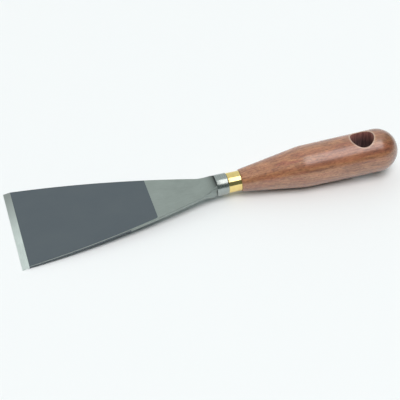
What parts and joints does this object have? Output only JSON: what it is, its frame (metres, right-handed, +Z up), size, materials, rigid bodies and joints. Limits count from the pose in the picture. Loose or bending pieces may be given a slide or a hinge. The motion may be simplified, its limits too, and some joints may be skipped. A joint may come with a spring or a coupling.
{
  "type": "flexible putty knife",
  "caption": "Flexible putty knife with a tapered steel blade, round bolster, brass ferrule and hardwood handle with a hang hole.",
  "frame": {"origin": "on the surface the tool lies on, at the middle of the whole tool's length and width", "axes": "+X from the working edge to the butt, level; +Y across the blade; +Z up. The tool rests on its working edge and on the underside of the handle's shoulder, so its own axis rises 3.87 degrees towards the butt"},
  "size_m": [0.2482, 0.07, 0.0303],
  "materials": {
    "blade_steel": "ground steel, with a smooth dark blue-grey lacquer band behind the bevel",
    "bolster_steel": "turned and polished",
    "brass": "polished",
    "hardwood": "reddish-brown close-grained hardwood, satin clear coat",
    "resin": "cast, hidden"
  },
  "bodies": {
    "root": {"blade": "blade_steel", "bolster": "bolster_steel", "ferrule": "brass", "handle": "hardwood", "tang_resin": "resin"}
  },
  "joints": []
}
